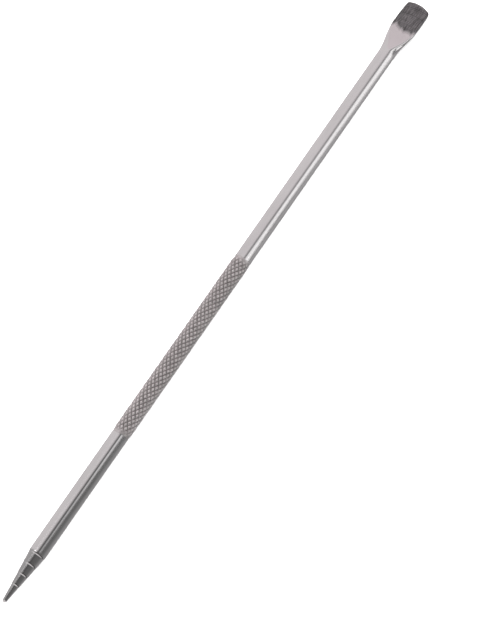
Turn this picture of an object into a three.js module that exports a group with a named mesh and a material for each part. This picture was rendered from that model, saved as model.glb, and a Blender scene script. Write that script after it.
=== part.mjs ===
// A double-ended steel spudger: a knurled bar in the middle, a stepped point on one end and a flat
// prying blade on the other. Millimetres, +Z up. The tool lies on its knurl along X, with the point
// towards -X and the blade's cross-cut side up. The origin is on the table, under the middle.
import * as THREE from 'three';

// Lengths along the tool are measured from the point's tip.
const LENGTH = 170;
const ROD_RADIUS = 2;

// knurled grip
const GRIP_START = 44.5;
const GRIP_END = 93.5;
const CREST_RADIUS = 2.18;
const GROOVE_RADIUS = 1.87;
const DIAMONDS_AROUND = 12;
const DIAMONDS_ALONG = 32;
const SOCKET_RADIUS = 1.2;
const SOCKET_DEPTH = 9;

// what the two end pieces have inside the grip
const SPIGOT_RADIUS = 1.18;
const SPIGOT_LENGTH = 8.7;
const SPIGOT_CHAMFER = 0.3;
const SHOULDER_GAP = 0.02;

// stepped point
const NOSE_RADIUS = 0.52;
const NOSE_LENGTH = 0.7;
const STEPS = 4;
const FIRST_STEP = 4.3;
const STEP_PITCH = 2.66;
const STEP_HEIGHT = 0.065;
const STEP_RUN = 0.5;
const POINT_SIDES = 40;

// blade
const BLADE_HALF_WIDTH = 3.1;
const FLARE_START = 154.2;
const FLARE_END = 162.9;
const WIDEST = 164.8;
const END_TAPER = 0.005;
const END_ARC_RADIUS = 5.5;
const END_CORNER = 0.1;
const BLADE_THICKNESS = 1.05;
const FLAT_START = 155.4;
const FLAT_END = 162.3;
const FLAT_SLOPE = 0.112;
const PAD_CURVE = 0.0042;
const NECK_START = 155;
const NECK_END = 160.5;
const SQUARE_START = 154.8;
const SQUARE_END = 158.4;
const EDGE_ROUND = 0.25;
const NECK_ROUND = 1.5;
// an edge's round takes at most this share of the half width
const MOST_ROUND = 0.8;

const middle = LENGTH / 2;
const axisHeight = CREST_RADIUS;

/** The place of a point that is `along` from the point's tip, and (y, z) from the tool's axis. */
function place(along, y, z) {
  return new THREE.Vector3(along - middle, y, z + axisHeight);
}

/** A closed solid through rings of equally many points, each end closed by a fan to its centre.
 *  Rings run clockwise as seen from the first one, looking along the tool. `otherDiagonal` says
 *  which four-sided cells are split along their other diagonal. */
function loft(rings, otherDiagonal = () => false) {
  const count = rings[0].length;
  const points = rings.flat();
  const faces = [];
  const at = (ring, n) => ring * count + (n % count);
  for (let ring = 0; ring + 1 < rings.length; ring++) {
    for (let n = 0; n < count; n++) {
      const [a, b] = [at(ring, n), at(ring, n + 1)];
      const [c, d] = [at(ring + 1, n), at(ring + 1, n + 1)];
      if (otherDiagonal(ring, n)) faces.push(a, c, b, b, c, d);
      else faces.push(a, c, d, a, d, b);
    }
  }
  for (const end of [0, rings.length - 1]) {
    const centre = new THREE.Vector3();
    for (const p of rings[end]) centre.addScaledVector(p, 1 / count);
    points.push(centre);
    for (let n = 0; n < count; n++) {
      const edge = end === 0 ? [at(end, n), at(end, n + 1)] : [at(end, n + 1), at(end, n)];
      faces.push(points.length - 1, ...edge);
    }
  }
  const geometry = new THREE.BufferGeometry().setFromPoints(points);
  geometry.setIndex(faces);
  geometry.computeVertexNormals();
  return geometry;
}

/** A ring of `count` points round the axis. Its radius may be a function of the point's number. */
function circle(along, radius, count) {
  return Array.from({ length: count }, (_, n) => {
    const angle = (2 * Math.PI * n) / count;
    const r = typeof radius === 'function' ? radius(n) : radius;
    return place(along, r * Math.sin(angle), r * Math.cos(angle));
  });
}

/** The middle of the bar: a diamond knurl, with a blind socket in each end. */
function knurledGrip() {
  const sides = 2 * DIAMONDS_AROUND;
  const rows = 2 * DIAMONDS_ALONG;
  const pitch = (GRIP_END - GRIP_START) / rows;
  const rings = [
    circle(GRIP_START + SOCKET_DEPTH, SOCKET_RADIUS, sides),
    circle(GRIP_START, SOCKET_RADIUS, sides),
    circle(GRIP_START, GROOVE_RADIUS, sides),
  ];
  const firstRow = rings.length;
  for (let row = 1; row < rows; row++) {
    const radius = (n) => ((n + row) % 2 ? CREST_RADIUS : GROOVE_RADIUS);
    rings.push(circle(GRIP_START + row * pitch, radius, sides));
  }
  rings.push(
    circle(GRIP_END, GROOVE_RADIUS, sides),
    circle(GRIP_END, SOCKET_RADIUS, sides),
    circle(GRIP_END - SOCKET_DEPTH, SOCKET_RADIUS, sides),
  );
  // each cell is split along its groove, so that the four faces round a crest are a pyramid
  const alongRidge = (ring, n) => (ring - firstRow + 1 + n) % 2 === 1;
  return loft(rings, alongRidge);
}

/** Radius of the point: a taper that swells by one step after another, each starting with a sharp
 *  corner and dying out into the taper behind it. */
function pointRadius(along) {
  const lastStepEnd = FIRST_STEP + (STEPS - 1) * STEP_PITCH + STEP_RUN;
  const taper = (ROD_RADIUS - NOSE_RADIUS - STEPS * STEP_HEIGHT) / (lastStepEnd - NOSE_LENGTH);
  let radius = NOSE_RADIUS + taper * (along - NOSE_LENGTH);
  for (let step = 0; step < STEPS; step++) {
    const share = (along - FIRST_STEP - step * STEP_PITCH) / STEP_RUN;
    radius += STEP_HEIGHT * (1 - (1 - THREE.MathUtils.clamp(share, 0, 1)) ** 2);
  }
  return Math.min(radius, ROD_RADIUS);
}

/** The stepped point with its blunt nose, the shank, and a spigot that fills the grip's socket. */
function pointEnd() {
  const outline = [new THREE.Vector2(0, 0)];
  for (const turn of [0.3, 0.6, 0.9, 1.2]) {
    outline.push(new THREE.Vector2(NOSE_RADIUS * Math.sin(turn), NOSE_LENGTH * (1 - Math.cos(turn))));
  }
  const stations = [NOSE_LENGTH];
  for (let step = 0; step < STEPS; step++) {
    const foot = FIRST_STEP + step * STEP_PITCH;
    stations.push(foot, foot + STEP_RUN / 3, foot + (2 * STEP_RUN) / 3, foot + STEP_RUN);
  }
  for (const along of stations) outline.push(new THREE.Vector2(pointRadius(along), along));
  const shoulder = GRIP_START - SHOULDER_GAP;
  const spigotEnd = GRIP_START + SPIGOT_LENGTH;
  outline.push(
    new THREE.Vector2(ROD_RADIUS, shoulder),
    new THREE.Vector2(SPIGOT_RADIUS, shoulder),
    new THREE.Vector2(SPIGOT_RADIUS, spigotEnd - SPIGOT_CHAMFER),
    new THREE.Vector2(SPIGOT_RADIUS - SPIGOT_CHAMFER, spigotEnd),
    new THREE.Vector2(0, spigotEnd),
  );
  return new THREE.LatheGeometry(outline, POINT_SIDES);
}

/** Half of the blade's width, seen from above. */
function halfWidth(along) {
  const flare = THREE.MathUtils.smoothstep(along, FLARE_START, FLARE_END);
  const taper = END_TAPER * Math.max(0, along - WIDEST) ** 2;
  const full = THREE.MathUtils.lerp(ROD_RADIUS, BLADE_HALF_WIDTH, flare) - taper;
  const fromEnd = LENGTH - along;
  const endArc = Math.sqrt(Math.max(0, 2 * END_ARC_RADIUS * fromEnd - fromEnd ** 2));
  return fromEnd < END_ARC_RADIUS ? Math.min(full, endArc + END_CORNER) : full;
}

/** Height of the cross-cut side over the axis: a ground flat that bows down towards the end. */
function topHeight(along) {
  const bow = PAD_CURVE * Math.max(0, along - FLAT_END) ** 2;
  return ROD_RADIUS - FLAT_SLOPE * Math.max(0, along - FLAT_START) - bow;
}

/** Height of the smooth side over the axis: it leaves the rod steeply, then follows the top. */
function bottomHeight(along) {
  const t = THREE.MathUtils.clamp((along - NECK_START) / (NECK_END - NECK_START), 0, 1);
  return THREE.MathUtils.lerp(-ROD_RADIUS, topHeight(along) - BLADE_THICKNESS, Math.sin((Math.PI / 2) * t));
}

const FLAT_POINTS = 9;
const SIDE_POINTS = 15;
const LEAST_ANGLE = 0.12;

/** A section across the blade end: round on the rod, squared over a short neck, and from there on a
 *  strip with rounded edges, which gets thinner and wider towards the blade. */
function section(along) {
  const [w, top, bottom] = [halfWidth(along), topHeight(along), bottomHeight(along)];
  const square = THREE.MathUtils.smoothstep(along, SQUARE_START, SQUARE_END);
  const slimming = THREE.MathUtils.smoothstep(along, SQUARE_START, FLAT_END);
  const edge = Math.min(THREE.MathUtils.lerp(NECK_ROUND, EDGE_ROUND, slimming), MOST_ROUND * w);
  const topAngle = Math.max(Math.acos(top / ROD_RADIUS), LEAST_ANGLE);
  const bottomAngle = Math.PI - Math.max(Math.acos(-bottom / ROD_RADIUS), LEAST_ANGLE);
  // (y, z) of the bar's own outline at an angle from the top, and of the thin blade's edge
  const bar = (angle) => [
    w * Math.sin(angle),
    THREE.MathUtils.clamp(ROD_RADIUS * Math.cos(angle), bottom, top),
  ];
  const bladeEdge = (share) => {
    const turn = Math.PI * share;
    const half = (top - bottom) / 2;
    const corner = Math.min(edge, half);
    const y = w - edge + edge * Math.sin(turn);
    return [y, bottom + half + Math.sign(Math.cos(turn)) * (half - corner) + corner * Math.cos(turn)];
  };
  const mix = (a, b) => a.map((value, i) => THREE.MathUtils.lerp(value, b[i], square));
  const right = [];
  for (let n = 0; n < SIDE_POINTS; n++) {
    const share = n / (SIDE_POINTS - 1);
    right.push(mix(bar(THREE.MathUtils.lerp(topAngle, bottomAngle, share)), bladeEdge(share)));
  }
  const across = (from, height, angle) => {
    const half = Math.floor(FLAT_POINTS / 2);
    return Array.from({ length: FLAT_POINTS }, (_, n) => {
      const share = (n - half) / (half + 1);
      const z = angle <= LEAST_ANGLE ? Math.cos(share * angle) * ROD_RADIUS : Math.abs(height);
      return [from * share, Math.sign(height) * Math.min(z, Math.abs(height))];
    });
  };
  const topRow = across(right[0][0], top, topAngle);
  const bottomRow = across(right.at(-1)[0], bottom, Math.PI - bottomAngle).reverse();
  const left = right.map(([y, z]) => [-y, z]).reverse();
  return [...topRow, ...right, ...bottomRow, ...left].map(([y, z]) => place(along, y, z));
}

/** Places along the blade where its section is drawn: closer together where the neck starts and
 *  where the end's arc turns. */
function bladeStations() {
  const stations = [FLARE_START, NECK_START];
  const neckSteps = 10;
  for (let n = 1; n <= neckSteps; n++) {
    stations.push(NECK_START + (NECK_END - NECK_START) * (n / neckSteps) ** 1.4);
  }
  const arcWidth = BLADE_HALF_WIDTH - END_CORNER;
  const arcStart = LENGTH - END_ARC_RADIUS + Math.sqrt(END_ARC_RADIUS ** 2 - arcWidth ** 2);
  const plainSteps = 7;
  for (let n = 1; n <= plainSteps; n++) {
    stations.push(THREE.MathUtils.lerp(NECK_END, arcStart, n / plainSteps));
  }
  const arcSteps = 6;
  for (let n = 1; n <= arcSteps; n++) {
    const y = arcWidth * (1 - n / arcSteps);
    stations.push(LENGTH - END_ARC_RADIUS + Math.sqrt(END_ARC_RADIUS ** 2 - y ** 2));
  }
  return stations;
}

/** The prying blade, its shank, and a spigot that fills the grip's socket. */
function bladeEnd() {
  const count = 2 * (FLAT_POINTS + SIDE_POINTS);
  const shoulder = GRIP_END + SHOULDER_GAP;
  const spigotEnd = GRIP_END - SPIGOT_LENGTH;
  return loft([
    circle(spigotEnd, SPIGOT_RADIUS - SPIGOT_CHAMFER, count),
    circle(spigotEnd + SPIGOT_CHAMFER, SPIGOT_RADIUS, count),
    circle(shoulder, SPIGOT_RADIUS, count),
    section(shoulder),
    ...bladeStations().map(section),
  ]);
}

/** A named sub-part in its own steel. */
function piece(name, geometry, color, roughness) {
  const material = new THREE.MeshStandardMaterial({ color, roughness, metalness: 1 });
  const mesh = new THREE.Mesh(geometry, material);
  mesh.name = name;
  return mesh;
}

const spudger = new THREE.Group();
spudger.add(piece('knurled_grip', knurledGrip(), 0x8f8a89, 0.42));

// the lathe turns about Y, and the point's tip is its lower end
const point = piece('point_end', pointEnd(), 0xb5adad, 0.28);
point.rotation.z = -Math.PI / 2;
point.position.copy(place(0, 0, 0));
spudger.add(point);

spudger.add(piece('blade_end', bladeEnd(), 0xbfb4b6, 0.3));

export default spudger;
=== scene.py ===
import math
import random

import bpy
import numpy as np
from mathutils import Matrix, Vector


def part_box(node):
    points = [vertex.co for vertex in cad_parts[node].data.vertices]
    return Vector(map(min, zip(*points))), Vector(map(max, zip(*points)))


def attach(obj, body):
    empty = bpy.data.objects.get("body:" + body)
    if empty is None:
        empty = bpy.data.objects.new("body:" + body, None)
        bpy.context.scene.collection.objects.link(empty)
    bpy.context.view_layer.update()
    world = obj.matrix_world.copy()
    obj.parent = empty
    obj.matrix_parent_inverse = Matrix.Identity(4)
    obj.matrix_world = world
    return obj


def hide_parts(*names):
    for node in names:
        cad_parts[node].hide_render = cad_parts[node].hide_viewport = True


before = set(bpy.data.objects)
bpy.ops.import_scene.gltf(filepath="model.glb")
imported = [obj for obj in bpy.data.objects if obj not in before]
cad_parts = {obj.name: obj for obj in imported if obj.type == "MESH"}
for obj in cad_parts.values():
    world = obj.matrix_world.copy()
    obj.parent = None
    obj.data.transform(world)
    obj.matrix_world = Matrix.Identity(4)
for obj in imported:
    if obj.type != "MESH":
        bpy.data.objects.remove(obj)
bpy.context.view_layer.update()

# The visual model of a double-ended steel spudger: a stepped point, a knurled bar and a prying
# blade. Shapes are worked out in millimetres along the tool, from the point's tip, and across it
# from its axis, and every end and outside size comes from the CAD frame.
MM = 0.001


def box_mm(node):
    """Lowest and highest corner of a CAD node, in millimetres."""
    return [np.array(corner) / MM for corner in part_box(node)]


point_box = box_mm("point_end")
grip_box = box_mm("knurled_grip")
blade_box = box_mm("blade_end")

TIP_X = point_box[0][0]
AXIS_Z = (grip_box[0][2] + grip_box[1][2]) / 2
LENGTH = blade_box[1][0] - TIP_X
ROD_RADIUS = point_box[1][1]
GRIP_START = grip_box[0][0] - TIP_X
GRIP_END = grip_box[1][0] - TIP_X
CREST_RADIUS = (grip_box[1][2] - grip_box[0][2]) / 2
SPIGOT_LENGTH = point_box[1][0] - grip_box[0][0]
BLADE_HALF_WIDTH = blade_box[1][1]


# ---------------------------------------------------------------- mesh helpers

def place(along, y, z):
    """Points of the row frame, in metres, from millimetres along and across the tool."""
    along, y, z = np.broadcast_arrays(along, y, z)
    return np.stack([along + TIP_X, y, z + AXIS_Z], -1) * MM


def ring(along, radius, count):
    """`count` points round the axis."""
    angle = np.arange(count) * 2 * math.pi / count
    return place(along, radius * np.sin(angle), radius * np.cos(angle))


def new_object(name, points, faces, sharp_degrees, attributes=None):
    """A smooth-shaded mesh object, with hard edges where faces meet at more than `sharp_degrees`.
    `attributes` gives a value for each point, by name."""
    mesh = bpy.data.meshes.new(name)
    mesh.from_pydata([tuple(p) for p in points], [], faces)
    mesh.validate()
    mesh.shade_smooth()
    mesh.set_sharp_from_angle(angle=math.radians(sharp_degrees))
    for key, values in (attributes or {}).items():
        layer = mesh.attributes.new(key, "FLOAT", "POINT")
        layer.data.foreach_set("value", values)
    piece = bpy.data.objects.new(name, mesh)
    bpy.context.scene.collection.objects.link(piece)
    return piece


def side_faces(n_rings, count):
    """Quads between neighbouring rings, facing out."""
    faces = []
    for i in range(n_rings - 1):
        for j in range(count):
            k = (j + 1) % count
            faces.append((i * count + j, i * count + k, (i + 1) * count + k, (i + 1) * count + j))
    return faces


def smooth(x, low, high):
    """A soft step from 0 at `low` to 1 at `high`."""
    t = np.clip((x - low) / (high - low), 0, 1)
    return t * t * (3 - 2 * t)


# ---------------------------------------------------------------- stepped point

NOSE_RADIUS = 0.52
NOSE_LENGTH = 0.7
STEPS = 4
FIRST_STEP = 4.3
STEP_PITCH = 2.66
STEP_HEIGHT = 0.065
STEP_RUN = 0.5
SHANK_BLEND = 0.03
POINT_SIDES = 144
POINT_SHARP_DEGREES = 9
SPIGOT_RADIUS = 1.18
SPIGOT_CHAMFER = 0.3
SHOULDER_GAP = 0.02
EDGE_BREAK = 0.04


def point_radius(along):
    """A taper that swells by one step after another and runs softly into the plain shank."""
    last_step_end = FIRST_STEP + (STEPS - 1) * STEP_PITCH + STEP_RUN
    taper = (ROD_RADIUS - NOSE_RADIUS - STEPS * STEP_HEIGHT) / (last_step_end - NOSE_LENGTH)
    radius = NOSE_RADIUS + taper * (along - NOSE_LENGTH)
    for step in range(STEPS):
        share = np.clip((along - FIRST_STEP - step * STEP_PITCH) / STEP_RUN, 0, 1)
        radius = radius + STEP_HEIGHT * (1 - (1 - share) ** 2)
    blend = np.clip(SHANK_BLEND - np.abs(radius - ROD_RADIUS), 0, None) / SHANK_BLEND
    return np.minimum(radius, ROD_RADIUS) - blend ** 2 * SHANK_BLEND / 4


def build_point():
    """A turned point: a blunt nose, a taper with a small sharp step every few millimetres, and a
    spigot that fills the grip's socket."""
    path = [(NOSE_LENGTH * (1 - math.cos(a)), NOSE_RADIUS * math.sin(a))
            for a in np.linspace(0.06, math.pi / 2, 26)]
    stations = [NOSE_LENGTH + 0.05]
    for step in range(STEPS):
        foot = FIRST_STEP + step * STEP_PITCH
        stations += list(foot + STEP_RUN * np.linspace(0, 1, 11))
    stations += list(np.linspace(stations[-1] + 0.05, stations[-1] + 0.5, 10))
    path += [(x, float(point_radius(x))) for x in stations]
    shoulder = GRIP_START - SHOULDER_GAP
    spigot_end = GRIP_START + SPIGOT_LENGTH
    path += [(shoulder - EDGE_BREAK, ROD_RADIUS), (shoulder, ROD_RADIUS - EDGE_BREAK),
             (shoulder, SPIGOT_RADIUS), (spigot_end - SPIGOT_CHAMFER, SPIGOT_RADIUS),
             (spigot_end, SPIGOT_RADIUS - SPIGOT_CHAMFER)]
    sides = POINT_SIDES
    points = np.concatenate([ring(x, r, sides) for x, r in path])
    faces = side_faces(len(path), sides)
    tip, end = len(points), len(points) + 1
    points = np.vstack([points, place(0, 0, 0)[None], place(spigot_end, 0, 0)[None]])
    last = (len(path) - 1) * sides
    for j in range(sides):
        k = (j + 1) % sides
        faces.append((tip, k, j))
        faces.append((end, last + j, last + k))
    return new_object("stepped_point", points, faces, POINT_SHARP_DEGREES)


# ---------------------------------------------------------------- knurled grip

DIAMONDS_AROUND = 12
DIAMONDS_ALONG = 32
GROOVE_RADIUS = 1.87
KNURL_FADE = 1.3
SOCKET_RADIUS = 1.2
SOCKET_DEPTH = 9
# mesh cells from a groove's crossing to the next crest, the share of a sharp tip's height that wear
# takes off, and how much of its height a diamond may lack
CELL = 7
TIP_WEAR = 0.48
UNEVEN = 0.2
# the value of "crest" on plain steel, between a groove's 0 and a worn tip's 1
PLAIN_CREST = 0.5
GRIP_SHARP_DEGREES = 80


def build_grip():
    """A bar with two crossing sets of V grooves, which leave diamonds with worn, rounded tips."""
    columns, rows = 2 * DIAMONDS_AROUND * CELL, 2 * DIAMONDS_ALONG * CELL
    i, j = np.meshgrid(np.arange(rows + 1), np.arange(columns), indexing="ij")
    first = (i + j) / (2 * CELL)
    second = (i - j) / (2 * CELL)
    to_groove = 2 * np.minimum(np.abs(first - np.round(first)), np.abs(second - np.round(second)))
    crest = to_groove - np.maximum(0, to_groove - (1 - 2 * TIP_WEAR)) ** 2 / (4 * TIP_WEAR)
    crest = crest / (1 - TIP_WEAR)
    # every diamond is a little higher or lower than its neighbours
    random.seed(11)
    heights = np.array([[random.uniform(1 - UNEVEN, 1) for _ in range(2 * DIAMONDS_AROUND)]
                        for _ in range(2 * DIAMONDS_ALONG + 2)])
    row = (np.floor(first) + np.floor(second)).astype(int) + 1
    column = (np.floor(first) - np.floor(second)).astype(int) % (2 * DIAMONDS_AROUND)
    crest = crest * heights[row, column]
    along = GRIP_START + i * (GRIP_END - GRIP_START) / rows
    fade = smooth(along - GRIP_START, 0, KNURL_FADE) * smooth(GRIP_END - along, 0, KNURL_FADE)
    knurl = GROOVE_RADIUS + (CREST_RADIUS - GROOVE_RADIUS) * crest
    end_radius = ROD_RADIUS - EDGE_BREAK
    radius = end_radius + (knurl - end_radius) * fade
    angle = j * 2 * math.pi / columns
    body = place(along, radius * np.sin(angle), radius * np.cos(angle)).reshape(-1, 3)
    faces = []
    for r in range(rows):
        for c in range(columns):
            k = (c + 1) % columns
            a, b = r * columns + c, r * columns + k
            d, e = a + columns, b + columns
            # the grooves run over the cells' diagonals, and so do their triangles' edges
            if (r + c + 1) % (2 * CELL) == 0:
                faces += [(a, b, d), (b, e, d)]
            else:
                faces += [(a, b, e), (a, e, d)]
    points = [body]
    crest_values = [(crest * fade + PLAIN_CREST * (1 - fade)).ravel()]
    n_body = len(body)
    # the blind sockets that hold the two spigots
    for end, inwards in ((GRIP_START, 1), (GRIP_END, -1)):
        start = sum(len(p) for p in points)
        mouth = ring(end, SOCKET_RADIUS, columns)
        floor = ring(end + inwards * SOCKET_DEPTH, SOCKET_RADIUS, columns)
        middle = place(end + inwards * SOCKET_DEPTH, 0, 0)[None]
        points += [mouth, floor, middle]
        crest_values += [np.full(2 * columns + 1, PLAIN_CREST)]
        outer = 0 if inwards == 1 else n_body - columns
        for c in range(columns):
            k = (c + 1) % columns
            loops = [(outer + c, outer + k, start + k, start + c),
                     (start + c, start + k, start + columns + k, start + columns + c),
                     (start + columns + c, start + columns + k, start + 2 * columns)]
            faces += [tuple(reversed(f)) if inwards == 1 else f for f in loops]
    attributes = {"crest": np.concatenate(crest_values)}
    return new_object("knurled_bar", np.concatenate(points), faces, GRIP_SHARP_DEGREES, attributes)


# ---------------------------------------------------------------- blade

FLARE_START = 154.2
FLARE_END = 162.9
WIDEST = 164.8
END_TAPER = 0.005
END_ARC_RADIUS = 5.5
END_CORNER = 0.32
BLADE_THICKNESS = 1.05
FLAT_START = 155.4
FLAT_END = 162.3
FLAT_SLOPE = 0.112
PAD_CURVE = 0.0042
NECK_START = 155
NECK_END = 160.5
SQUARE_START = 154.8
SQUARE_END = 158.4
EDGE_ROUND = 0.25
NECK_ROUND = 1.5
END_EDGE = 0.22
PAD_JAGS = 0.35
PAD_EDGE = (-0.25, 0.3)
CUT_PITCH = 0.52
CUT_LEAN = 0.05
CUT_WAVE = 0.22
CUT_WAVE_ALONG = 0.8
CUT_WAVE_ACROSS = 0.5
CROSS_PITCH = 0.5
CROSS_LEAN = 0.15
CROSS_BOW = 0.05
CUT_UNEVEN = 0.25
CUT_DEPTH = 0.055
CUT_WORN = (0.3, 0.9)
# the value of "pad" where the pad isn't cut, between plain steel's 0 and a full cut's 1
UNCUT_PAD = 0.55
# the level and reach of the painted grey shade laid on the steel before the pad
SHADE_BEFORE_PAD_LEVEL = 0.38
SHADE_BEFORE_PAD_REACH = 1.1
JAG_COUNT = 64
BEND_END = 1.2
COARSE_STEP = 0.15
FINE_STEP = 0.06
BLADE_SHARP_DEGREES = 32
FLAT_POINTS = 121
SIDE_POINTS = 25
LEAST_ANGLE = 0.12
# how far the pad reaches from the blade's end at places across it
PAD_BORDER_Y = (-2.9, -2.6, -1.2, -0.4, 1.0, 2.1, 2.5, 2.9)
PAD_BORDER_REACH = (7.4, 7.7, 8.0, 8.2, 7.6, 7.2, 7.9, 8.1)


def half_width(along):
    """Half of the blade's width, without its end corners."""
    taper = END_TAPER * max(0, along - WIDEST) ** 2
    return ROD_RADIUS + (BLADE_HALF_WIDTH - ROD_RADIUS) * smooth(along, FLARE_START, FLARE_END) - taper


def top_height(along):
    """Height of the cross-cut side over the axis: a ground flat that bows down near the end."""
    bow = PAD_CURVE * np.maximum(0, along - FLAT_END) ** 2
    return ROD_RADIUS - FLAT_SLOPE * np.maximum(0, along - FLAT_START) - bow


def bottom_height(along):
    """Height of the smooth side over the axis."""
    share = np.sin(math.pi / 2 * np.clip((along - NECK_START) / (NECK_END - NECK_START), 0, 1))
    return -ROD_RADIUS + share * (top_height(along) - BLADE_THICKNESS + ROD_RADIUS)


def quarter(distance, radius):
    """How far a quarter-round edge of that radius has dropped at a distance from the end."""
    d = np.clip(distance, 0, radius)
    return radius - np.sqrt(radius ** 2 - (radius - d) ** 2)


def bar_section(station):
    """A section of the blade end, as (along, y, z) arrays: across the top, down one side, back
    across the underside, and up the other side."""
    from_end = LENGTH - station
    w = half_width(station) - quarter(from_end, END_CORNER)
    top, bottom = float(top_height(station)), float(bottom_height(station))
    square = smooth(station, SQUARE_START, SQUARE_END)
    top_angle = max(math.acos(top / ROD_RADIUS), LEAST_ANGLE)
    bottom_angle = math.pi - max(math.acos(-bottom / ROD_RADIUS), LEAST_ANGLE)
    share = np.linspace(0, 1, SIDE_POINTS)
    angle = top_angle + (bottom_angle - top_angle) * share
    bar_y = w * np.sin(angle)
    bar_z = np.clip(ROD_RADIUS * np.cos(angle), bottom, top)
    half = (top - bottom) / 2
    edge = NECK_ROUND + (EDGE_ROUND - NECK_ROUND) * smooth(station, SQUARE_START, FLAT_END)
    corner = min(edge, half)
    turn = math.pi * share
    edge_y = w - edge + edge * np.sin(turn)
    edge_z = bottom + half + np.sign(np.cos(turn).round(6)) * (half - corner) + corner * np.cos(turn)
    side_y = bar_y + (edge_y - bar_y) * square
    side_z = bar_z + (edge_z - bar_z) * square
    across = np.linspace(-1, 1, FLAT_POINTS + 2)[1:-1]

    def row(y_end, height, angle_end):
        z = np.full(FLAT_POINTS, abs(height))
        if angle_end <= LEAST_ANGLE:
            z = np.minimum(ROD_RADIUS * np.cos(across * angle_end), z)
        return across * y_end, math.copysign(1, height) * z

    top_y, top_z = row(side_y[0], top, top_angle)
    low_y, low_z = row(side_y[-1], bottom, math.pi - bottom_angle)
    y = np.concatenate([top_y, side_y, low_y[::-1], -side_y[::-1]])
    z = np.concatenate([top_z, side_z, low_z[::-1], side_z[::-1]])
    # stations near the end follow the end's arc
    follow = smooth(station, FLAT_END, LENGTH - BEND_END)
    bend = follow * (END_ARC_RADIUS - np.sqrt(END_ARC_RADIUS ** 2 - y ** 2))
    along = station - bend
    z = z + top_height(along) - top_height(station)
    # the end's upper and lower edges are broken by a small round
    if from_end < END_EDGE:
        middle = (top_height(along) + bottom_height(along)) / 2
        shrink = 1 - quarter(from_end, END_EDGE) / (BLADE_THICKNESS / 2)
        z = middle + (z - middle) * shrink
    return along, y, z


def pad_cuts(along, y, jags):
    """The file-like cuts at points of the top: their depth from 0 to 1, how much pad is there, and
    the thin band of painted grey shade before it."""
    lean = CUT_LEAN * (along - WIDEST) * y / BLADE_HALF_WIDTH
    wave = CUT_WAVE * np.sin(CUT_WAVE_ALONG * (along - WIDEST) + CUT_WAVE_ACROSS * y)
    groove = (y + lean + wave) / CUT_PITCH
    cross = (along + CROSS_LEAN * y + CROSS_BOW * y ** 2) / CROSS_PITCH
    groove_jag = jags[np.floor(groove + 0.5).astype(int) + len(jags) // 2]
    cross_jag = jags[np.floor(cross + 0.5).astype(int) % len(jags)]
    starts = LENGTH - np.interp(y, PAD_BORDER_Y, PAD_BORDER_REACH) + PAD_JAGS * groove_jag
    inside = smooth(along, starts + PAD_EDGE[0], starts + PAD_EDGE[1])
    inside = inside * smooth(LENGTH - along, END_EDGE, END_EDGE + 0.15)
    lengthwise = 1 - 2 * np.abs(groove - np.round(groove))
    crosswise = 1 - 2 * np.abs(cross - np.round(cross))
    depth = np.maximum(lengthwise * (1 - CUT_UNEVEN + CUT_UNEVEN * groove_jag),
                       crosswise * (1 - CUT_UNEVEN + CUT_UNEVEN * cross_jag))
    # painted shade: a grey soft step that rises towards the pad's border
    shade_before_pad = SHADE_BEFORE_PAD_LEVEL * smooth(along, starts - SHADE_BEFORE_PAD_REACH, starts)
    worn = smooth(LENGTH - along, *CUT_WORN)
    return depth * inside * worn, inside, shade_before_pad


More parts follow.
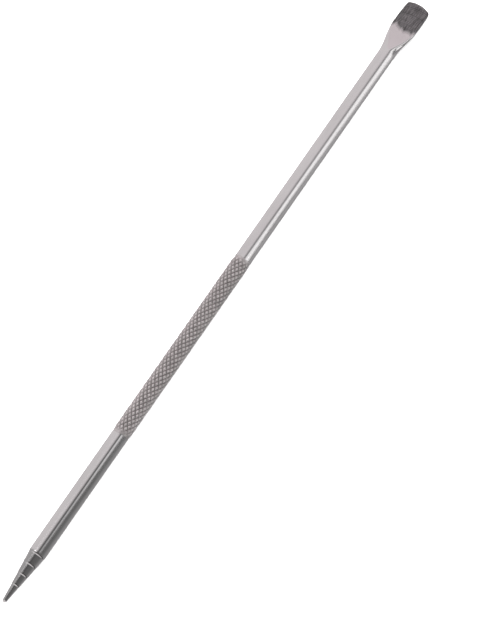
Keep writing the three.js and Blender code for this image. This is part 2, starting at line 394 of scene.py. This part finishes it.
def build_blade():
    """The shank, neck and blade, with real cuts in the pad near the end."""
    count = 2 * (FLAT_POINTS + SIDE_POINTS)
    random.seed(7)
    jags = np.array([random.uniform(-1, 1) for _ in range(JAG_COUNT)])
    shoulder = GRIP_END + SHOULDER_GAP
    spigot_end = GRIP_END - SPIGOT_LENGTH
    angle = (np.arange(count) - FLAT_POINTS // 2) * 2 * math.pi / count

    def disc(along, radius):
        return np.full(count, along), radius * np.sin(angle), radius * np.cos(angle)

    # sections lie closer together where the shape turns fast: the neck, the pad and the end's edges
    stations = [shoulder + EDGE_BREAK, shoulder + 20, FLARE_START - 6, FLARE_START - 0.2, FLARE_START]
    stations += list(np.arange(FLARE_START + COARSE_STEP, NECK_START, COARSE_STEP))
    stations += list(NECK_START + np.array([0, 0.01, 0.03, 0.06, 0.1, 0.16, 0.24, 0.34]))
    pad_start = LENGTH - max(PAD_BORDER_REACH) - 0.5
    stations += list(np.arange(NECK_START + 0.45, pad_start, COARSE_STEP))
    stations += list(np.arange(pad_start, LENGTH - END_CORNER, FINE_STEP))
    stations += list(LENGTH - END_CORNER * (1 - np.sin(np.linspace(0.05, math.pi / 2, 14))))
    stations += list(LENGTH - END_EDGE * (1 - np.sin(np.linspace(0.05, math.pi / 2, 6))))
    stations = sorted(set(round(float(s), 4) for s in stations))
    sections = [disc(spigot_end, SPIGOT_RADIUS - SPIGOT_CHAMFER),
                disc(spigot_end + SPIGOT_CHAMFER, SPIGOT_RADIUS),
                disc(shoulder, SPIGOT_RADIUS)]
    shoulder_ring = bar_section(stations[0])
    scale = (ROD_RADIUS - EDGE_BREAK) / ROD_RADIUS
    sections.append((np.full(count, shoulder), shoulder_ring[1] * scale, shoulder_ring[2] * scale))
    points, pad = [], []
    for along, y, z in sections:
        points.append(place(along, y, z))
        pad.append(np.zeros(count))
    for station in stations:
        along, y, z = bar_section(station)
        depth, inside, shade_before_pad = pad_cuts(along, y, jags)
        on_top = np.zeros(count)
        on_top[:FLAT_POINTS] = 1
        on_top *= smooth(np.abs(y[0]) - np.abs(y), 0, 0.12)
        cut = depth * on_top
        points.append(place(along, y, z - CUT_DEPTH * cut))
        mid_height = (z.min() + z.max()) / 2
        above = smooth(z, mid_height, mid_height + 0.1)
        # the pad's value also holds the painted grey shade before the pad
        cover = np.maximum(inside, shade_before_pad) * above
        # the pad value grows with cut depth, and the blade's steel turns that into painted shade in the
        # cuts
        pad.append(cover * (UNCUT_PAD + (1 - UNCUT_PAD) * depth))
    n_rings = len(points)
    faces = side_faces(n_rings, count)
    points = np.concatenate(points)
    first_middle = len(points)
    points = np.vstack([points, place(spigot_end, 0, 0)[None]])
    pad = np.concatenate(pad + [np.zeros(1)])
    for j in range(count):
        faces.append((first_middle, (j + 1) % count, j))
    # the end wall: quads between the top row and the underside's row, and the two round sides
    last = (n_rings - 1) * count
    top = [last + n for n in range(FLAT_POINTS)]
    low = [last + FLAT_POINTS + SIDE_POINTS + n for n in range(FLAT_POINTS)][::-1]
    for a, b, c, d in zip(top, top[1:], low[1:], low):
        faces.append((a, b, c, d))
    right = [last + FLAT_POINTS + n for n in range(SIDE_POINTS)]
    left = [last + 2 * FLAT_POINTS + SIDE_POINTS + n for n in range(SIDE_POINTS)]
    faces.append(tuple([top[-1]] + right + [low[-1]]))
    faces.append(tuple([low[0]] + left + [top[0]]))
    return new_object("prying_blade", points, faces, BLADE_SHARP_DEGREES, {"pad": pad})


# ---------------------------------------------------------------- materials

def node(tree, kind, inputs=None, **settings):
    """A shader node with its settings and unlinked inputs set. An input can be another socket."""
    made = tree.nodes.new(kind)
    for key, value in settings.items():
        setattr(made, key, value)
    for key, value in (inputs or {}).items():
        if isinstance(value, bpy.types.NodeSocket):
            tree.links.new(value, made.inputs[key])
        else:
            made.inputs[key].default_value = value
    return made


def ramp(tree, source, stops, interpolation="EASE"):
    """A colour ramp of (place, colour) stops."""
    made = tree.nodes.new("ShaderNodeValToRGB")
    tree.links.new(source, made.inputs[0])
    made.color_ramp.interpolation = interpolation
    elements = made.color_ramp.elements
    while len(elements) < len(stops):
        elements.new(0.5)
    for element, (where, colour) in zip(elements, stops):
        element.position = where
        element.color = colour if len(colour) == 4 else (*colour, 1)
    return made.outputs[0]


def grey(value, warm=0.0):
    """A grey, a little warmer or pinker with `warm`."""
    return (value * (1 + warm), value * (1 - warm * 0.6), value * (1 - warm * 0.3))


def stretched_noise(tree, scale_along, scale_across, detail=3.0):
    """Noise over the object, at so many cells a millimetre along the tool and across it."""
    coords = node(tree, "ShaderNodeTexCoord").outputs["Object"]
    mapping = node(tree, "ShaderNodeMapping", {"Vector": coords})
    mapping.inputs["Scale"].default_value = (scale_along / MM, scale_across / MM, scale_across / MM)
    return node(tree, "ShaderNodeTexNoise", {"Vector": mapping.outputs[0], "Scale": 1.0,
                                             "Detail": detail, "Roughness": 0.6}).outputs["Fac"]


def math_node(tree, operation, a, b):
    """The result of a Math node."""
    return node(tree, "ShaderNodeMath", {0: a, 1: b}, operation=operation).outputs[0]


def mix_colours(tree, share, a, b):
    """Colour `a` where `share` is 0, and `b` where it is 1."""
    a, b = (c if isinstance(c, bpy.types.NodeSocket) else (*c, 1) for c in (a, b))
    return node(tree, "ShaderNodeMix", {0: share, 6: a, 7: b}, data_type="RGBA").outputs[2]


def mix_numbers(tree, share, a, b):
    """Number `a` where `share` is 0, and `b` where it is 1."""
    return node(tree, "ShaderNodeMix", {0: share, 2: a, 3: b}, data_type="FLOAT").outputs[0]


def scaled(tree, colour, factor):
    """A colour times a number or a grey."""
    return node(tree, "ShaderNodeVectorMath", {0: colour, "Scale": factor}, operation="SCALE").outputs[0]


BLACK = (0, 0, 0)
WHITE = (1, 1, 1)


def steel(name, colour, roughness, line_bump):
    """Stainless steel with faint turning lines round it, blotches and small roughness changes.
    Returns the material, its tree and shader, and the sockets of its colour and roughness."""
    material = bpy.data.materials.new(name)
    material.use_nodes = True
    tree = material.node_tree
    shader = tree.nodes["Principled BSDF"]
    shader.inputs["Metallic"].default_value = 1.0
    lines = stretched_noise(tree, 9, 0.25, 4)
    blotches = stretched_noise(tree, 0.12, 0.35, 2)
    darker = tuple(0.86 * c for c in colour)
    tone = mix_colours(tree, blotches, darker, colour)
    tree.links.new(tone, shader.inputs["Base Color"])
    rough = mix_numbers(tree, lines, roughness * 0.75, roughness * 1.3)
    tree.links.new(rough, shader.inputs["Roughness"])
    bump = node(tree, "ShaderNodeBump", {"Height": lines, "Strength": line_bump, "Distance": 0.02 * MM})
    tree.links.new(bump.outputs[0], shader.inputs["Normal"])
    return material, tree, shader, tone, rough


def knurled_steel():
    """The grip's steel: polished crests, duller in the grooves, with painted shade darkening the grooves
    and a painted highlight lightening the crests.
    """
    material, tree, shader, _, _ = steel("knurled_steel", (0.66, 0.64, 0.64), 0.3, 0.3)
    crest = node(tree, "ShaderNodeAttribute", attribute_name="crest").outputs["Fac"]
    # the crest ramp sets the crests' polish in roughness, and in colour paints shade in the grooves and
    # a highlight on the crests
    worn = ramp(tree, crest, [(0.0, BLACK), (0.55, grey(0.5)), (1.0, WHITE)], "LINEAR")
    spots = stretched_noise(tree, 0.9, 0.9, 2)
    spot_tone = ramp(tree, spots, [(0.3, grey(0.84)), (0.7, grey(1.12))], "LINEAR")
    # painted shade: dark steel in the grooves; painted highlight: pale steel on the crests
    shaded_knurl_tone = mix_colours(tree, worn, (0.36, 0.335, 0.335), (0.93, 0.88, 0.88))
    tree.links.new(scaled(tree, shaded_knurl_tone, spot_tone), shader.inputs["Base Color"])
    tree.links.new(mix_numbers(tree, worn, 0.5, 0.32), shader.inputs["Roughness"])
    return material


def blade_steel():
    """The blade's steel, darker and rougher where the pad is cut, with painted shade darkest in the cuts
    and a band of painted grey shade before the pad.
    """
    material, tree, shader, tone, rough = steel("blade_steel", (0.69, 0.67, 0.675), 0.14, 0.35)
    pad = node(tree, "ShaderNodeAttribute", attribute_name="pad").outputs["Fac"]
    cover = ramp(tree, pad, [(0.0, BLACK), (0.3, WHITE)], "LINEAR")
    streaks = stretched_noise(tree, 0.5, 2.2, 2)
    # the pad's own dark cut finish, with painted shade that makes it darker still where the cuts are
    # deepest
    pad_tone_and_cut_shade = ramp(tree, pad, [(0.5, (0.36, 0.35, 0.355)), (1.0, (0.13, 0.125, 0.13))], "LINEAR")
    streak_tone = ramp(tree, streaks, [(0.3, grey(0.55)), (0.7, grey(1.15))], "LINEAR")
    pad_tone_and_cut_shade = scaled(tree, pad_tone_and_cut_shade, streak_tone)
    tree.links.new(mix_colours(tree, cover, tone, pad_tone_and_cut_shade), shader.inputs["Base Color"])
    tree.links.new(mix_numbers(tree, cover, rough, 0.45), shader.inputs["Roughness"])
    return material


# ---------------------------------------------------------------- stage, light and camera

FLOOR_HALF = 3.0


def build_floor():
    """A plain pale floor, well past the view. It doesn't show in the steel's reflections."""
    mesh = bpy.data.meshes.new("floor")
    corners = [(-1, -1), (1, -1), (1, 1), (-1, 1)]
    mesh.from_pydata([(x * FLOOR_HALF, y * FLOOR_HALF, 0) for x, y in corners], [], [(0, 1, 2, 3)])
    floor = bpy.data.objects.new("floor", mesh)
    bpy.context.scene.collection.objects.link(floor)
    material = bpy.data.materials.new("floor_white")
    material.use_nodes = True
    shader = material.node_tree.nodes["Principled BSDF"]
    shader.inputs["Base Color"].default_value = (0.9, 0.9, 0.9, 1)
    shader.inputs["Roughness"].default_value = 0.9
    mesh.materials.append(material)
    floor.visible_glossy = False


def soft_step(tree, value, low, high):
    """A soft step from 0 at `low` to 1 at `high`, either of which may be another socket."""
    return node(tree, "ShaderNodeMapRange", {"Value": value, "From Min": low, "From Max": high},
                interpolation_type="SMOOTHSTEP").outputs[0]


def window(tree, value, low, high, blur):
    """1 between `low` and `high`, and softly 0 outside."""
    rise = soft_step(tree, value, low - blur, low + blur)
    fall = soft_step(tree, value, high - blur, high + blur)
    return math_node(tree, "MULTIPLY", rise, math_node(tree, "SUBTRACT", 1.0, fall))


# The light on the left of the tool, seen from its point: (how far the direction leans along the
# tool, from -1 towards the point to 1 towards the blade; brightness; pinkness)
LEFT_TONES = (
    (-1, 0.9, 0.01), (-0.42, 0.9, 0.01), (-0.34, 0.5, 0.01), (-0.22, 0.46, 0.01), (-0.13, 0.53, 0.01),
    (-0.07, 0.43, 0.01), (-0.02, 0.55, 0.01), (0.06, 0.84, 0.035), (0.45, 0.87, 0.035),
    (0.55, 0.83, 0.085), (0.8, 0.83, 0.085), (0.87, 0.14, 0.03), (1, 0.14, 0.03))
# The dim side on the right: (degrees round the tool from straight up, brightness)
SIDE_TONES = ((0, 0.125), (15, 0.16), (60, 0.175), (80, 0.2), (100, 0.28), (120, 0.36), (150, 0.38),
              (180, 0.4))
PANEL_LEVEL = 1.1
SPOT_LEVEL = 2.6
ROOM_AHEAD = (0.9, 0.88, 0.88)


def build_world():
    """A soft studio in zones round the tool: a broad light in several tones on the point's left, a
    dim side on its right with a soft panel beside the blade, a small bright spot, and an evenly
    pale room ahead of the point."""
    world = bpy.data.worlds.new("studio")
    bpy.context.scene.world = world
    world.use_nodes = True
    tree = world.node_tree

    def plus(a, b):
        return math_node(tree, "ADD", a, b)

    def times(a, b):
        return math_node(tree, "MULTIPLY", a, b)

    def outside(share):
        return math_node(tree, "SUBTRACT", 1.0, share)

    direction = node(tree, "ShaderNodeTexCoord").outputs["Generated"]
    x, y, z = node(tree, "ShaderNodeSeparateXYZ", {0: direction}).outputs
    # degrees round the tool's axis from straight up, growing towards -Y
    turn = math_node(tree, "DEGREES", math_node(tree, "ARCTAN2", times(y, -1.0), z), 0.0)
    # the lights lie askew to the tool, so their edges move round it along the tool
    askew = node(tree, "ShaderNodeClamp", {"Value": x, "Min": -0.2, "Max": 0.45}).outputs[0]
    squared = times(askew, askew)
    left_edge = plus(times(askew, 85.0), -12.0)
    panel_near = plus(plus(times(askew, -24.0), times(squared, 205.0)), 18.0)
    panel_far = plus(times(squared, 440.0), 34.0)

    left_stops = [(0.5 + 0.5 * lean, (level, level * (1 - pink), level * (1 - 0.7 * pink)))
                  for lean, level, pink in LEFT_TONES]
    left = ramp(tree, plus(times(x, 0.5), 0.5), left_stops, "LINEAR")
    low_left = soft_step(tree, times(turn, -1.0), 110.0, 170.0)
    left = scaled(tree, left, plus(times(low_left, -0.5), 1.0))

    side_stops = [(degrees / 180, grey(level)) for degrees, level in SIDE_TONES]
    side = ramp(tree, times(turn, 1 / 180), side_stops, "LINEAR")
    # brighter towards the blade, and darker towards the point and far beyond the blade
    upper = outside(soft_step(tree, turn, 110.0, 150.0))
    brighter = times(times(soft_step(tree, x, 0.13, 0.3), upper), 0.6)
    by_point = times(window(tree, x, -0.36, -0.2, 0.03), -0.65)
    shade = plus(by_point, times(soft_step(tree, x, 0.42, 0.6), -0.45))
    side = scaled(tree, side, times(plus(brighter, 1.0), plus(shade, 1.0)))

    is_side = soft_step(tree, turn, plus(left_edge, -15.0), plus(left_edge, 13.0))
    round_light = mix_colours(tree, is_side, left, side)

    panel = soft_step(tree, turn, plus(panel_near, -5.0), plus(panel_near, 9.0))
    panel = times(panel, soft_step(tree, x, -0.02, 0.23))
    panel = times(panel, outside(soft_step(tree, turn, plus(panel_far, -14.0), plus(panel_far, 12.0))))
    panel = times(times(panel, PANEL_LEVEL), outside(soft_step(tree, x, 0.42, 0.55)))
    spot = times(window(tree, x, -0.06, 0.005, 0.015), window(tree, turn, -48.0, -18.0, 5.0))
    spot = times(spot, SPOT_LEVEL)
    lit = node(tree, "ShaderNodeVectorMath", {0: round_light, 1: plus(panel, spot)}).outputs[0]

    ahead = outside(soft_step(tree, x, -0.46, -0.36))
    background = tree.nodes["Background"]
    tree.links.new(mix_colours(tree, ahead, lit, ROOM_AHEAD), background.inputs[0])
    background.inputs[1].default_value = 1.0


OVERHEAD_SIZE = (1.6, 1.6)
OVERHEAD_HEIGHT = 1.5
OVERHEAD_WATTS = 60
SOFTBOX_SIZE = (0.064, 0.27)
SOFTBOX_RADIANCE = 1.3
SOFTBOX_AIM = NECK_START + 2
SOFTBOX_OFFSET = Vector((0.008, -0.375, 0.137))


def area_light(name, size, watts, location):
    """A rectangular soft light, facing down."""
    data = bpy.data.lights.new(name, "AREA")
    data.shape = "RECTANGLE"
    data.size, data.size_y = size
    data.energy = watts
    light = bpy.data.objects.new(name, data)
    light.location = location
    bpy.context.scene.collection.objects.link(light)
    return light


def build_lights():
    """One wide soft light from above for the floor's even white, and a small softbox beside the
    blade's neck."""
    overhead = area_light("overhead", OVERHEAD_SIZE, OVERHEAD_WATTS, (0, 0, OVERHEAD_HEIGHT))
    overhead.visible_camera = False
    overhead.visible_glossy = False
    neck = Vector(place(SOFTBOX_AIM, 0, 0))
    watts = SOFTBOX_RADIANCE * math.pi * SOFTBOX_SIZE[0] * SOFTBOX_SIZE[1]
    softbox = area_light("softbox", SOFTBOX_SIZE, watts, neck + SOFTBOX_OFFSET)
    softbox.rotation_euler = (-SOFTBOX_OFFSET).to_track_quat("-Z", "Y").to_euler()


CAMERA_TARGET = Vector((-2.23, -7.83, 2.18)) * MM
CAMERA_AZIMUTH = math.radians(-56.4)
CAMERA_ELEVATION = math.radians(73.7)
CAMERA_DISTANCE = 0.4232
SENSOR_WIDTH = 36
LENS = 106.5


def build_camera():
    """A camera over the tool, looking down across it."""
    data = bpy.data.cameras.new("camera")
    data.sensor_fit = "AUTO"
    data.sensor_width = SENSOR_WIDTH
    data.lens = LENS
    data.clip_start, data.clip_end = 0.01, 20
    camera = bpy.data.objects.new("camera", data)
    across = math.cos(CAMERA_ELEVATION)
    back = Vector((math.sin(CAMERA_AZIMUTH) * across, -math.cos(CAMERA_AZIMUTH) * across,
                   math.sin(CAMERA_ELEVATION)))
    camera.location = CAMERA_TARGET + back * CAMERA_DISTANCE
    camera.rotation_euler = (-back).to_track_quat("-Z", "Y").to_euler()
    bpy.context.scene.collection.objects.link(camera)
    bpy.context.scene.camera = camera


# ---------------------------------------------------------------- the scene

def add_piece(piece, material, node_name):
    """Gives a piece its material, and puts it in its CAD node's place."""
    piece.data.materials.append(material)
    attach(piece, "root")
    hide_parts(node_name)


build_camera()
point_steel = steel("point_steel", (0.68, 0.665, 0.668), 0.12, 0.2)[0]
add_piece(build_point(), point_steel, "point_end")
add_piece(build_grip(), knurled_steel(), "knurled_grip")
add_piece(build_blade(), blade_steel(), "blade_end")
build_floor()
build_world()
build_lights()
bpy.context.scene.view_settings.view_transform = "Standard"
